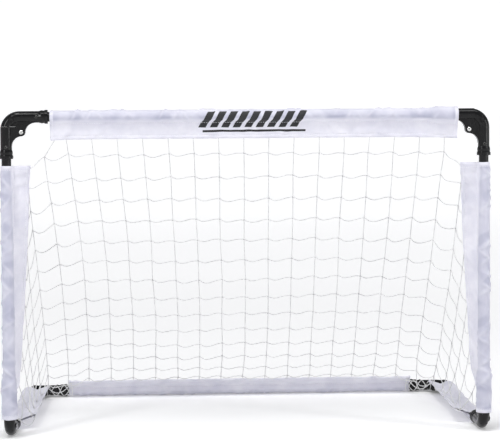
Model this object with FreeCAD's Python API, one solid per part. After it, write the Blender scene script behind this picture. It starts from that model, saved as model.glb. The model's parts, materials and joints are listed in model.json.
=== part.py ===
import FreeCAD, Part
import math
import os

Vector = FreeCAD.Vector

# A small folding goal. Millimetres, +Z up. The mouth faces -Y, the net slopes back to +Y.
# The origin is on the ground, in the middle of the whole goal's box.

# Overall sizes, over the collars and sleeves
overall_width = 914.4
overall_depth = 457.2
overall_height = 609.6

# Frame tubes
tube_radius = 9.0
tube_wall = 1.0

# Corner elbows: two moulded halves that fold about a pin inside the corner
socket_clearance = 0.15
socket_wall = 1.6
socket_stop = 32.0          # from the corner of the two tube axes to the tube's end
elbow_reach = 77.0          # from the corner to the mouth of each socket
bend_radius = 25.0          # of the bend's centre line
bend_wall = 3.25
flare_length = 17.0         # the part of each leg that widens towards its mouth
flange_length = 6.0
flange_rise = 2.25
ring_rise = 1.4
groove_rise = 1.0
edge_round = 0.7
seam_height = 18.0          # where the bend stops and the straight arm begins
seam_gap = 0.3
arm_end_wall = 3.0

# Web and knuckle between the legs
pivot_offset = 28.0         # from each leg's axis to the pin
boss_radius = 7.6
boss_rise = 1.0
boss_step = 1.4
web_thickness = 12.0
web_reach = 54.0            # from the corner to where the web runs out on each leg
tongue_thickness = 5.0
cheek_gap = 0.3
knuckle_clearance = 2.85
knuckle_gap = 0.4

# Pivot pin
pin_radius = 2.5
running_clearance = 0.05
pin_head_radius = 4.0
pin_head_height = 1.6

# Lock button, its spring and the arm's catch
button_bearing = 54.5       # degrees round the bend, from the arm's side
button_size = 6.0
button_proud = 1.0
button_clearance = 0.2
button_rim = 1.4
button_rim_rise = 0.3
button_flange_size = 8.4
button_flange_thickness = 1.4
button_seat_gap = 0.15
spring_radius = 1.9
spring_wire_radius = 0.3
spring_turns = 6
spring_end_gap = 0.1
catch_inset = 2.5
catch_width = 4.0
catch_reach = 7.5
catch_share = 0.4           # half the catch's thickness, as a share of the bend's bore

# Rivets that hold the tubes in their sockets
rivet_radius = 1.6
rivet_head_radius = 3.0
rivet_head_height = 1.2
rivet_bulb_radius = 2.4
rivet_bulb_length = 1.6
rivet_clearance = 0.05
rivet_distance = 56.0       # from the corner

# Fabric sleeves, each a wrap round a tube with a double flap that holds the net's edge
fabric_thickness = 0.8
sleeve_ease = 0.6
collar_ease = 0.3
flap_reach = 44.0           # from the tube's axis to the flap's hem
flap_thickness = 2.4
flap_root = 0.4
sleeve_taper = 12.0
sleeve_end_gap = 3.5
post_bare_length = 13.0     # tube left bare under each top elbow
crossbar_sleeve_cover = 28.0
post_sleeve_cover = 54.0
side_sleeve_cover = 41.0
cover_margin = 8.0          # how far before a collar the sleeve is already wide
slot_margin = 1.0
post_flap_turn = 75.0       # degrees the post's flap turns back from its top to its foot
side_flap_lift = 20.0
back_flap_lift = 35.0

# Net
net_thickness = 1.2
net_gap = 0.5
net_turn = 36.0             # degrees the net's slope turns between the crossbar and the back tube
net_corner = 70.0
net_side_inset = 14.0       # from the post's axis in to the side of the net
net_front_gap = 6.0
net_foot_gap = 4.0

# Worked out from the sizes above
body_radius = tube_radius + socket_clearance + socket_wall
bore_radius = body_radius - bend_wall
collar_radius = body_radius + flange_rise
knuckle_radius = pivot_offset - body_radius - knuckle_clearance
wrap_inner = tube_radius + sleeve_ease
wrap_outer = wrap_inner + fabric_thickness
wide_inner = collar_radius + collar_ease
wide_outer = wide_inner + fabric_thickness
half_web = web_thickness / 2
half_tongue = tongue_thickness / 2

post_x = overall_width / 2 - wide_outer
front_y = -overall_depth / 2 + wide_outer
back_y = overall_depth / 2 - collar_radius
base_z = collar_radius
crossbar_z = overall_height - wide_outer

right = Vector(1, 0, 0)
left = Vector(-1, 0, 0)
back = Vector(0, 1, 0)
front = Vector(0, -1, 0)
up = Vector(0, 0, 1)
down = Vector(0, 0, -1)


def write(name, shape):
    shape.exportStep("parts/" + name + ".step")


def placed(shape, corner, x_dir, y_dir):
    """Turns a shape's own x and y to the two directions and moves its origin to the corner."""
    z_dir = x_dir.cross(y_dir)
    matrix = FreeCAD.Matrix(x_dir.x, y_dir.x, z_dir.x, corner.x,
                            x_dir.y, y_dir.y, z_dir.y, corner.y,
                            x_dir.z, y_dir.z, z_dir.z, corner.z,
                            0, 0, 0, 1)
    moved = shape.copy()
    moved.Placement = FreeCAD.Placement(matrix).multiply(moved.Placement)
    return moved


def cylinder(radius, start, end):
    along = end - start
    return Part.makeCylinder(radius, along.Length, start, along)


def prism(points, low, high):
    """A polygon in x and y, from z low to z high."""
    corners = [Vector(x, y, low) for x, y in points]
    wire = Part.makePolygon(corners + [corners[0]])
    return Part.Face(wire).extrude(Vector(0, 0, high - low))


def turned(points):
    """Points of distance along y and radius, turned round the y axis into a solid."""
    corners = [Vector(radius, along, 0) for along, radius in points]
    wire = Part.makePolygon(corners + [corners[0]])
    return Part.Face(wire).revolve(Vector(0, 0, 0), Vector(0, 1, 0), 360)


# Elbow. Its own x runs along the bend's leg, its own y along the arm's leg, and the
# lock button is on the -z side.
pivot = Vector(pivot_offset, pivot_offset, 0)
bend_centre = Vector(bend_radius, bend_radius, 0)
bearing = math.radians(button_bearing)
button_centre = bend_centre - Vector(math.cos(bearing), math.sin(bearing), 0) * bend_radius


def leg_outside(start):
    """The outside of one leg along y: plain, then a ring, a groove and the mouth's flange."""
    flare_start = elbow_reach - flare_length
    flange_start = elbow_reach - flange_length
    ring = (flare_start + flange_start) / 2
    return turned([
        (start, 0),
        (start, body_radius),
        (flare_start, body_radius),
        (ring - edge_round, body_radius + ring_rise),
        (ring + edge_round, body_radius + ring_rise),
        (flange_start - 2 * edge_round, body_radius + groove_rise),
        (flange_start, collar_radius - edge_round),
        (flange_start + edge_round, collar_radius),
        (elbow_reach - edge_round, collar_radius),
        (elbow_reach, collar_radius - edge_round),
        (elbow_reach, 0)])


def swap_legs(shape):
    """Turns a leg made along y to lie along x."""
    swapped = shape.copy()
    swapped.rotate(Vector(0, 0, 0), Vector(1, 1, 0), 180)
    return swapped


def web_plate(low, high):
    """The web's outline: a boss round the pin, and a hollow curve down to each leg."""
    across = web_reach - pivot_offset
    drop = body_radius - pivot_offset
    hollow = (across ** 2 + drop ** 2 - boss_radius ** 2) / (2 * (boss_radius - drop))
    plate = prism([(0, 0), (web_reach, 0), (web_reach, pivot_offset),
                   (pivot_offset, pivot_offset), (pivot_offset, web_reach), (0, web_reach)],
                  low, high)
    plate = plate.fuse(Part.makeCylinder(boss_radius, high - low,
                                         Vector(pivot_offset, pivot_offset, low)))
    for centre in ((web_reach, body_radius + hollow), (body_radius + hollow, web_reach)):
        cut = Part.makeCylinder(hollow, high - low, Vector(centre[0], centre[1], low))
        plate = plate.cut(cut)
    return plate.removeSplitter()


def knuckle(radius, low, high):
    return Part.makeCylinder(radius, high - low, Vector(pivot_offset, pivot_offset, low))


def leg_bore(start, end, radius):
    return cylinder(radius, Vector(0, start, 0), Vector(0, end, 0))


def rivet_hole(reach):
    return cylinder(rivet_radius + rivet_clearance, Vector(0, rivet_distance, 0),
                    Vector(0, rivet_distance, -reach))


def button_box(size, low, high):
    """A square bar through the bend's wall, lined up with the bend."""
    box = Part.makeBox(size, size, high - low, Vector(-size / 2, -size / 2, low))
    box.rotate(Vector(0, 0, 0), Vector(0, 0, 1), button_bearing - 90)
    box.translate(button_centre)
    return box


def bend_sweep(radius):
    circle = Part.makeCircle(radius, Vector(bend_radius, 0, 0), Vector(1, 0, 0))
    return Part.Face(Part.Wire(circle)).revolve(bend_centre, Vector(0, 0, 1), -90)


def elbow_bend():
    """The half with the bend: its leg, the web's middle tongue and the button's window."""
    seam = seam_height - seam_gap
    far = elbow_reach * 2
    rim_size = button_size + 2 * (button_clearance + button_rim)
    rim = button_box(rim_size, -body_radius - button_rim_rise, -bore_radius)
    solid = swap_legs(leg_outside(bend_radius)).fuse([bend_sweep(body_radius), rim])
    above = Part.makeBox(far, far, far, Vector(-far / 2, seam, -far / 2))
    solid = solid.fuse(web_plate(-half_web, half_web)).cut(above)
    for low, high in ((-far, -half_tongue), (half_tongue, far)):
        solid = solid.cut(knuckle(knuckle_radius + knuckle_gap, low, high))
    tongue = web_plate(-half_tongue, half_tongue)
    tongue = tongue.common(knuckle(knuckle_radius - knuckle_gap / 2, -half_tongue, half_tongue))
    solid = solid.fuse(tongue)
    solid = solid.cut(swap_legs(leg_bore(socket_stop, far, tube_radius + socket_clearance)))
    solid = solid.cut(swap_legs(leg_bore(bend_radius, socket_stop, bore_radius)))
    solid = solid.cut(bend_sweep(bore_radius))
    solid = solid.cut(swap_legs(rivet_hole(-far)))
    solid = solid.cut(button_box(button_size + 2 * button_clearance, -far, 0))
    solid = solid.cut(knuckle(pin_radius + running_clearance, -far, far))
    return solid.removeSplitter()


def elbow_arm():
    """The straight half: its leg, the two cheeks round the tongue and the lock's catch."""
    far = elbow_reach * 2
    below = Part.makeBox(far, far, far, Vector(-far / 2, seam_height - far, -far / 2))
    beyond = Part.makeBox(far, far, far, Vector(pivot_offset, 0, -far / 2))
    web = web_plate(-half_web, half_web)
    solid = leg_outside(seam_height).fuse(web.cut(below).cut(beyond))
    for low, high in ((-half_web, -half_tongue), (half_tongue, half_web)):
        solid = solid.fuse(web.common(knuckle(knuckle_radius, low, high)))
    for side in (-1, 1):
        start = pivot + Vector(0, 0, side * half_tongue)
        end = pivot + Vector(0, 0, side * (half_web + boss_rise))
        solid = solid.fuse(cylinder(boss_radius - boss_step, start, end))
    catch_half = bore_radius * catch_share
    catch = Part.makeBox(catch_width, catch_reach + arm_end_wall / 2, 2 * catch_half,
                         Vector(catch_inset, seam_height - catch_reach, -catch_half))
    gap = half_tongue + cheek_gap
    solid = solid.cut(knuckle(knuckle_radius + knuckle_gap / 2, -gap, gap)).fuse(catch)
    solid = solid.cut(leg_bore(socket_stop, far, tube_radius + socket_clearance))
    solid = solid.cut(leg_bore(seam_height + arm_end_wall, socket_stop, bore_radius))
    solid = solid.cut(rivet_hole(far))
    solid = solid.cut(knuckle(pin_radius + running_clearance, -far, far))
    return solid.removeSplitter()


def pivot_pin():
    """A pin with a domed head at each end, through the cheeks and the tongue."""
    seat = half_web + boss_rise + running_clearance
    solid = cylinder(pin_radius, pivot + down * seat, pivot + up * seat)
    dome_radius = (pin_head_radius ** 2 + pin_head_height ** 2) / (2 * pin_head_height)
    for side in (-1, 1):
        centre = pivot + up * (side * (seat + pin_head_height - dome_radius))
        dome = Part.makeSphere(dome_radius, centre)
        slab = cylinder(pin_head_radius, pivot + up * (side * seat),
                        pivot + up * (side * (seat + pin_head_height)))
        solid = solid.fuse(dome.common(slab))
    return solid.removeSplitter()


def button_flange_top():
    """The height at which the flange meets the round wall of the bend's bore."""
    half = button_flange_size / 2
    return math.sqrt(bore_radius ** 2 - half ** 2) - button_seat_gap


def lock_button():
    top = button_flange_top()
    face = body_radius + button_rim_rise + button_proud
    solid = button_box(button_flange_size, -top, -top + button_flange_thickness)
    return solid.fuse(button_box(button_size, -face, -top)).removeSplitter()


def lock_spring():
    """A coil spring between the button's flange and the far wall of the bore."""
    reach = spring_radius + spring_wire_radius
    start = -button_flange_top() + button_flange_thickness + spring_end_gap
    end = math.sqrt(bore_radius ** 2 - reach ** 2) - spring_end_gap
    height = end - start - 2 * spring_wire_radius
    helix = Part.makeHelix(height / spring_turns, height, spring_radius)
    wire = Part.Wire(Part.makeCircle(spring_wire_radius, Vector(spring_radius, 0, 0),
                                     Vector(0, 1, 0)))
    coil = Part.Wire(helix).makePipeShell([wire], True, True)
    coil.translate(button_centre + up * (start + spring_wire_radius))
    return coil


def rivet():
    """A blind rivet through the socket and the tube, on the elbow's -z side."""
    base = Vector(0, rivet_distance, 0)
    inside = tube_radius - tube_wall - rivet_clearance
    top = body_radius + rivet_head_height
    dome_radius = (rivet_head_radius ** 2 + rivet_head_height ** 2) / (2 * rivet_head_height)
    head = Part.makeSphere(dome_radius, base + down * (top - dome_radius))
    head = head.common(cylinder(rivet_head_radius, base + down * tube_radius, base + down * top))
    head = head.cut(cylinder(body_radius + rivet_clearance, Vector(0, 0, 0), base * 2))
    bulb = cylinder(rivet_bulb_radius, base + down * (inside - rivet_bulb_length),
                    base + down * (tube_radius + tube_wall))
    bulb = bulb.common(cylinder(inside, Vector(0, 0, 0), base * 2))
    shank = cylinder(rivet_radius, base + down * (inside - rivet_bulb_length),
                     base + down * (body_radius + rivet_head_height / 2))
    return shank.fuse([head, bulb]).removeSplitter()


def tube(start, end, start_side, end_side):
    """A straight tube between two corners, stopped short of each, with a rivet hole at each end."""
    along = (end - start).normalize()
    low = start + along * socket_stop
    high = end - along * socket_stop
    solid = cylinder(tube_radius, low, high)
    solid = solid.cut(cylinder(tube_radius - tube_wall, low - along, high + along))
    for corner, side, sign in ((start, start_side, 1), (end, end_side, -1)):
        centre = corner + along * (sign * rivet_distance)
        solid = solid.cut(cylinder(rivet_radius + rivet_clearance, centre,
                                   centre + side * collar_radius))
    return solid


# Each corner: its place, the way of the bend's leg and the way of the arm's leg
corners = {
    "top_left": (Vector(-post_x, front_y, crossbar_z), right, down),
    "top_right": (Vector(post_x, front_y, crossbar_z), down, left),
    "left_foot": (Vector(-post_x, front_y, base_z), up, back),
    "right_foot": (Vector(post_x, front_y, base_z), up, back),
    "back_left": (Vector(-post_x, back_y, base_z), right, front),
    "back_right": (Vector(post_x, back_y, base_z), front, left)}


def rivet_side(corner):
    """The side of the tube that faces the elbow's lock button."""
    place, bend_way, arm_way = corners[corner]
    return arm_way.cross(bend_way)


def write_elbows():
    bend = elbow_bend()
    arm = elbow_arm()
    pin = pivot_pin()
    button = lock_button()
    spring = lock_spring()
    for name, (corner, bend_way, arm_way) in corners.items():
        for piece, shape in (("elbow_bend", bend), ("elbow_arm", arm), ("pivot_pin", pin),
                             ("lock_button", button), ("lock_spring", spring)):
            write(name + "_" + piece, placed(shape, corner, bend_way, arm_way))


def write_rivets():
    """The rivets of the front frame and those of the folding base, as two groups."""
    on_arm = rivet()
    on_bend = on_arm.copy()
    on_bend.rotate(Vector(0, 0, 0), Vector(0, 0, 1), -90)
    groups = {"front_frame_rivets": [], "folding_base_rivets": []}
    for name, (corner, bend_way, arm_way) in corners.items():
        bend_group = "folding_base_rivets" if name.startswith("back") else "front_frame_rivets"
        arm_group = "front_frame_rivets" if name.startswith("top") else "folding_base_rivets"
        groups[bend_group].append(placed(on_bend, corner, bend_way, arm_way))
        groups[arm_group].append(placed(on_arm, corner, bend_way, arm_way))
    for name, solids in groups.items():
        write(name, Part.makeCompound(solids))


def write_tubes():
    routes = {"crossbar_tube": ("top_left", "top_right"),
              "left_post_tube": ("top_left", "left_foot"),
              "right_post_tube": ("top_right", "right_foot"),
              "left_side_tube": ("left_foot", "back_left"),
              "right_side_tube": ("right_foot", "back_right"),
              "back_tube": ("back_left", "back_right")}
    for name, (start, end) in routes.items():
        write(name, tube(corners[start][0], corners[end][0], rivet_side(start), rivet_side(end)))


# Sleeves. Each is made along its own x, with its flap towards its own y.

def flap_section(along, angle):
    """One cross-section of the flap, from the wrap to the hem, turned by an angle in degrees."""
    half = flap_thickness / 2
    turn = math.radians(angle)
    points = []
    for reach, side in ((wrap_inner + flap_root, -half), (flap_reach, -half),
                        (flap_reach, half), (wrap_inner + flap_root, half)):
        points.append(Vector(along, reach * math.cos(turn) - side * math.sin(turn),
                             reach * math.sin(turn) + side * math.cos(turn)))
    return Part.makePolygon(points + [points[0]])


def sleeve(length, wide, slot, start_angle, end_angle, slot_angle):
    """A wrap that widens over the elbow at its far end, and a flap that may twist on its way."""
    narrow_end = length - wide - sleeve_taper

    def wrap(narrow_radius, wide_radius, over):
        points = [(-over, 0), (-over, narrow_radius)]
        if wide > 0:
            points += [(narrow_end, narrow_radius), (length - wide, wide_radius),
                       (length + over, wide_radius)]
        else:
            points.append((length + over, narrow_radius))
        return swap_legs(turned(points + [(length + over, 0)]))

    flap_end = length - slot
    share = flap_end / length
    far_angle = start_angle + (end_angle - start_angle) * share
    flap = Part.makeLoft([flap_section(0, start_angle), flap_section(flap_end, far_angle)],
                         True, True)
    solid = wrap(wrap_outer, wide_outer, 0).fuse(flap).cut(wrap(wrap_inner, wide_inner, 1))
    if slot > 0:
        half = half_web + slot_margin
        box = Part.makeBox(slot + 1, collar_radius * 2, 2 * half, Vector(length - slot, 0, -half))
        box.rotate(Vector(0, 0, 0), Vector(1, 0, 0), slot_angle)
        solid = solid.cut(box)
    return solid.removeSplitter()


def write_sleeves():
    crossbar_start = Vector(-post_x + elbow_reach + sleeve_end_gap, front_y, crossbar_z)
    crossbar_length = post_x - elbow_reach + crossbar_sleeve_cover - crossbar_start.x
    crossbar = sleeve(crossbar_length, crossbar_sleeve_cover + cover_margin, 0, 0, 0, 0)
    write("crossbar_sleeve", placed(crossbar, crossbar_start, right, down))

    ground = Part.makeBox(overall_width * 2, overall_depth * 2, overall_height,
                          Vector(-overall_width, -overall_depth, -overall_height))
    post_top = crossbar_z - elbow_reach - post_bare_length
    post_length = post_top - (base_z + elbow_reach - post_sleeve_cover)
    post_slot = web_reach - (elbow_reach - post_sleeve_cover) + slot_margin
    side_start = front_y + elbow_reach + sleeve_end_gap
    side_length = back_y - elbow_reach + side_sleeve_cover - side_start
    side_slot = web_reach - (elbow_reach - side_sleeve_cover) + slot_margin
    for name, side, inward in (("left", -1, right), ("right", 1, left)):
        post = sleeve(post_length, post_sleeve_cover + cover_margin, post_slot,
                      0, side * post_flap_turn, side * 90)
        write(name + "_post_sleeve",
              placed(post, Vector(side * post_x, front_y, post_top), down, inward))
        rail = sleeve(side_length, side_sleeve_cover + cover_margin, side_slot,
                      side * side_flap_lift, side * side_flap_lift, 0)
        rail = placed(rail, Vector(side * post_x, side_start, base_z), back, inward)
        write(name + "_side_sleeve", rail.cut(ground))

    back_start = Vector(-post_x + elbow_reach + sleeve_end_gap, back_y, base_z)
    back_wrap = sleeve(-2 * back_start.x, 0, 0, -back_flap_lift, -back_flap_lift, 0)
    write("back_sleeve", placed(back_wrap, back_start, right, front))


def net():
    """One sheet: a back that curves down to the back tube, cut-off corners and two sides.

    The slope is an arc about a line along X, so the whole sheet is turned about that line."""
    lift = math.radians(back_flap_lift)
    hem = flap_reach + net_gap
    top = Vector(0, front_y, crossbar_z - hem)
    foot = Vector(0, back_y - hem * math.cos(lift), base_z + hem * math.sin(lift))
    chord = foot - top
    half_turn = math.radians(net_turn / 2)
    radius = chord.Length / (2 * math.sin(half_turn))
    outward = chord.cross(right).normalize()
    centre = (top + foot) * 0.5 - outward * (radius * math.cos(half_turn))
    start = (top - centre).normalize()

    side = post_x - net_side_inset
    reach = radius + overall_depth
    mitre = net_thickness * math.tan(math.pi / 8)
    outer = [(-side, reach), (-side, radius + net_corner), (-side + net_corner, radius)]
    inner = [(-side + net_thickness, reach),
             (-side + net_thickness, radius + net_corner + mitre),
             (-side + net_corner + mitre, radius + net_thickness)]
    outline = outer + [(-x, r) for x, r in reversed(outer)]
    outline += [(-x, r) for x, r in inner] + list(reversed(inner))
    corners_of_sheet = [centre + right * x + start * r for x, r in outline]
    face = Part.Face(Part.makePolygon(corners_of_sheet + [corners_of_sheet[0]]))
    turn_way = start.cross((foot - centre).normalize())
    sheet = face.revolve(centre, turn_way, net_turn)

    foot_y = front_y + flap_reach + net_foot_gap
    web_top = base_z + web_reach
    side_hem = base_z + flap_reach * math.sin(math.radians(side_flap_lift)) + net_gap + half_tongue
    bounds = [(front_y + net_front_gap, top.z + 1), (foot_y, web_top), (foot_y, side_hem),
              (back_y, side_hem), (back_y, top.z + 1)]
    room = [Vector(-post_x, y, z) for y, z in bounds]
    sides = Part.Face(Part.makePolygon(room + [room[0]])).extrude(right * (2 * post_x))
    middle_half = side - net_corner
    middle = Part.makeBox(2 * middle_half, overall_depth * 2, overall_height,
                          Vector(-middle_half, -overall_depth, 0))
    sheet = sheet.common(sides.fuse(middle))

    post_top = crossbar_z - elbow_reach - post_bare_length
    for way in (-1, 1):
        wedge = [Vector(way * x, -overall_depth, z) for x, z in
                 ((middle_half, top.z + 1), (post_x, top.z + 1), (post_x, post_top),
                  (side, post_top))]
        sheet = sheet.cut(Part.Face(Part.makePolygon(wedge + [wedge[0]])).extrude(
            back * (2 * overall_depth)))
    return sheet.removeSplitter()


def main():
    os.makedirs("parts", exist_ok=True)
    write_elbows()
    write_rivets()
    write_tubes()
    write_sleeves()
    write("net", net())


main()
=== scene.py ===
import json
import math

import bpy
import numpy as np
from mathutils import Matrix, Vector, noise


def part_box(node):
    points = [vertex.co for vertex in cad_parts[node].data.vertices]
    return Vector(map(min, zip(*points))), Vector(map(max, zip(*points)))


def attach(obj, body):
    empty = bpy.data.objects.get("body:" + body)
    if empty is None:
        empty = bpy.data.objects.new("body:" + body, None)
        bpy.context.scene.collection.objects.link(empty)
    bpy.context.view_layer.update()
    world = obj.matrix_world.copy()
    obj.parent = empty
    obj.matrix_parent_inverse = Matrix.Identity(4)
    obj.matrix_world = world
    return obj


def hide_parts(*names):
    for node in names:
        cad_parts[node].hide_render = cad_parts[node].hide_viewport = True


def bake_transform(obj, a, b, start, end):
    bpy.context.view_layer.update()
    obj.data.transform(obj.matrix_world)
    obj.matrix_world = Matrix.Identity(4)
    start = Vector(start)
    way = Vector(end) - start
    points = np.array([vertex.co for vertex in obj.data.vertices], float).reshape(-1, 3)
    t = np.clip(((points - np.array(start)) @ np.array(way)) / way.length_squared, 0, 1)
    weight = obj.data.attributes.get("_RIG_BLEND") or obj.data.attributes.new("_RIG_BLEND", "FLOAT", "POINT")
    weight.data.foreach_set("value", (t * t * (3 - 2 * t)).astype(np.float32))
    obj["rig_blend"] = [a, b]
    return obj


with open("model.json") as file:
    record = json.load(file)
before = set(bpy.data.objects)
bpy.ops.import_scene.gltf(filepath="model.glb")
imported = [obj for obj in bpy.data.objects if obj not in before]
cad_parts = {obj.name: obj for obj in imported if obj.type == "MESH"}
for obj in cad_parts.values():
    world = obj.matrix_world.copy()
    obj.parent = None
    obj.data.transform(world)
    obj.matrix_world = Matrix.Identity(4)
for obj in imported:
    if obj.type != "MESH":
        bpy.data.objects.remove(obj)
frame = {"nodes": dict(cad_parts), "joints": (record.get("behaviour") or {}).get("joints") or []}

print("frame loaded:", len(frame["nodes"]), "nodes")
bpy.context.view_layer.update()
nodes = frame["nodes"]


def middle(node):
    low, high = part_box(node)
    return (np.array(low) + np.array(high)) / 2


def low(node):
    return np.array(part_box(node)[0])


def high(node):
    return np.array(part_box(node)[1])


def smooth(x):
    x = np.clip(x, 0.0, 1.0)
    return x * x * (3 - 2 * x)


def unit(v):
    v = np.asarray(v, float)
    return v / np.maximum(np.linalg.norm(v, axis=-1, keepdims=True), 1e-12)


def newFinish(name, color, roughness, **settings):
    mat = bpy.data.materials.new(name)
    mat.use_nodes = True
    tree = mat.node_tree
    shader = tree.nodes["Principled BSDF"]
    shader.inputs["Base Color"].default_value = (*color, 1)
    shader.inputs["Roughness"].default_value = roughness
    for key, value in settings.items():
        shader.inputs[key.replace("_", " ")].default_value = value
    return mat, tree, shader


def put(tree, kind, **values):
    # a node with its sockets and settings filled in; a socket given as a value is linked
    item = tree.nodes.new(kind)
    for key, value in values.items():
        name = key.replace("_", " ")
        if key.startswith("set"):
            setattr(item, key[3:], value)
        elif isinstance(value, bpy.types.NodeSocket):
            tree.links.new(value, item.inputs[name])
        else:
            item.inputs[name].default_value = value
    return item


def math2(tree, operation, a, b=0.0):
    item = tree.nodes.new("ShaderNodeMath")
    item.operation = operation
    for socket, value in zip(item.inputs, (a, b)):
        if isinstance(value, bpy.types.NodeSocket):
            tree.links.new(value, socket)
        else:
            socket.default_value = value
    return item.outputs[0]


def times(tree, a, b):
    return math2(tree, "MULTIPLY", a, b)


def plus(tree, a, b):
    return math2(tree, "ADD", a, b)


def mixed(tree, share, first, second):
    return put(tree, "ShaderNodeMixRGB", Fac=share, Color1=first, Color2=(*second, 1)).outputs[0]


def noiseOf(tree, at, scale, detail, **more):
    return put(tree, "ShaderNodeTexNoise", Vector=at, Scale=scale, Detail=detail, **more).outputs["Fac"]


def feed(tree, shader, **sockets):
    for key, socket in sockets.items():
        tree.links.new(socket, shader.inputs[key.replace("_", " ")])


def ramp(tree, value, *stops):
    item = put(tree, "ShaderNodeValToRGB", Fac=value)
    while len(item.color_ramp.elements) < len(stops):
        item.color_ramp.elements.new(0.5)
    for element, (place, color) in zip(item.color_ramp.elements, stops):
        element.position = place
        element.color = (*color, 1) if hasattr(color, "__len__") else (color, color, color, 1)
    return item.outputs["Color"]


def bumps(tree, shader, *layers):
    # each layer is (height socket, strength, distance in metres)
    normal = None
    for height, strength, distance in layers:
        item = put(tree, "ShaderNodeBump", Height=height, Strength=strength, Distance=distance)
        if normal is not None:
            tree.links.new(normal, item.inputs["Normal"])
        normal = item.outputs["Normal"]
    tree.links.new(normal, shader.inputs["Normal"])


def objectSpace(tree, scale=(1, 1, 1)):
    place = put(tree, "ShaderNodeTexCoord")
    return put(tree, "ShaderNodeMapping", Vector=place.outputs["Object"], Scale=scale).outputs[0]


elbowFinish = {"color": (0.004, 0.004, 0.0044), "roughness": 0.12, "grain": 900, "flow": 55}


def mouldedElbow(name, lift=1.0):
    mat, tree, shader = newFinish(
        name, elbowFinish["color"], elbowFinish["roughness"],
        Coat_Weight=0.06, Coat_Roughness=0.05, IOR=1.3)
    at = objectSpace(tree)
    grain = noiseOf(tree, at, elbowFinish["grain"], 2)
    flow = noiseOf(tree, at, elbowFinish["flow"], 3)
    scuff = noiseOf(tree, objectSpace(tree, (260, 40, 60)), 1.0, 5)
    rubbed = ramp(tree, scuff, (0.56, 0.0), (0.72, 1.0))
    black = tuple(c * lift for c in elbowFinish["color"])
    color = ramp(tree, flow, (0.3, black), (0.75, tuple(c * 1.7 for c in black)))
    tint = mixed(tree, times(tree, rubbed, 0.22), color, (0.03, 0.03, 0.031))
    rough = plus(tree, times(tree, rubbed, 0.16), times(tree, flow, 0.14))
    rough = plus(tree, rough, elbowFinish["roughness"] - 0.06)
    feed(tree, shader, Base_Color=tint, Roughness=rough)
    bumps(tree, shader, (flow, 0.12, 0.0006), (grain, 0.10, 0.0001))
    return mat


tubeFinish = {"color": (0.006, 0.006, 0.007), "roughness": 0.18, "orangePeel": 420}


def enamelTube(name):
    mat, tree, shader = newFinish(
        name, tubeFinish["color"], tubeFinish["roughness"], Coat_Weight=0.08, Coat_Roughness=0.08, IOR=1.3)
    at = objectSpace(tree)
    peel = noiseOf(tree, at, tubeFinish["orangePeel"], 1)
    cloud = noiseOf(tree, at, 18, 4)
    rough = plus(tree, times(tree, cloud, 0.16), tubeFinish["roughness"] - 0.08)
    color = ramp(tree, cloud, (0.35, tubeFinish["color"]), (0.8, (0.014, 0.014, 0.015)))
    feed(tree, shader, Base_Color=color, Roughness=rough)
    bumps(tree, shader, (peel, 0.18, 0.0002))
    return mat


pinFinish = {"color": (0.62, 0.62, 0.61), "roughness": 0.24, "turning": 1600}


def brightPin(name, dark=1.0):
    color = tuple(c * dark for c in pinFinish["color"])
    mat, tree, shader = newFinish(name, color, pinFinish["roughness"], Metallic=1.0)
    at = objectSpace(tree)
    turning = noiseOf(tree, at, pinFinish["turning"], 2)
    dull = noiseOf(tree, at, 240, 3)
    tint = ramp(tree, dull, (0.3, color), (0.7, tuple(c * 0.72 for c in color)))
    feed(tree, shader, Base_Color=tint, Roughness=times(tree, dull, 0.3))
    bumps(tree, shader, (turning, 0.12, 0.0001))
    return mat


def dressFrame():
    tube = enamelTube("blackEnamelTube")
    finishes = {
        "elbow": mouldedElbow("blackNylonElbow"),
        "lock_button": mouldedElbow("blackButton", 1.5),
        "pivot_pin": brightPin("zincPin"),
        "spring": brightPin("springWire", 0.8),
        "rivets": brightPin("blackenedRivet", 0.09),
    }
    for name, item in nodes.items():
        match = [finish for part, finish in finishes.items() if part in name]
        item.data.materials.clear()
        item.data.materials.append(match[-1] if match else tube)


clothFinish = {
    "light": (0.77, 0.76, 0.83),
    "shade": (0.62, 0.615, 0.715),
    # the dark colour of the black tube showing through the cloth, also used for painted shade
    "tubeShowAndShade": (0.30, 0.31, 0.43),
    "shows": 0.90,     # how much of the black tube shows where the cloth lies on it, and how strong the painted shade and painted highlights of the folds are
    "thread": 0.0011,  # spacing of the weave
    "roughness": 0.62,
}


def uvLength(tree):
    layer = put(tree, "ShaderNodeUVMap", setuv_map="clothMetres").outputs[0]
    split = put(tree, "ShaderNodeSeparateXYZ", Vector=layer)
    return split.outputs[0], split.outputs[1]


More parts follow.
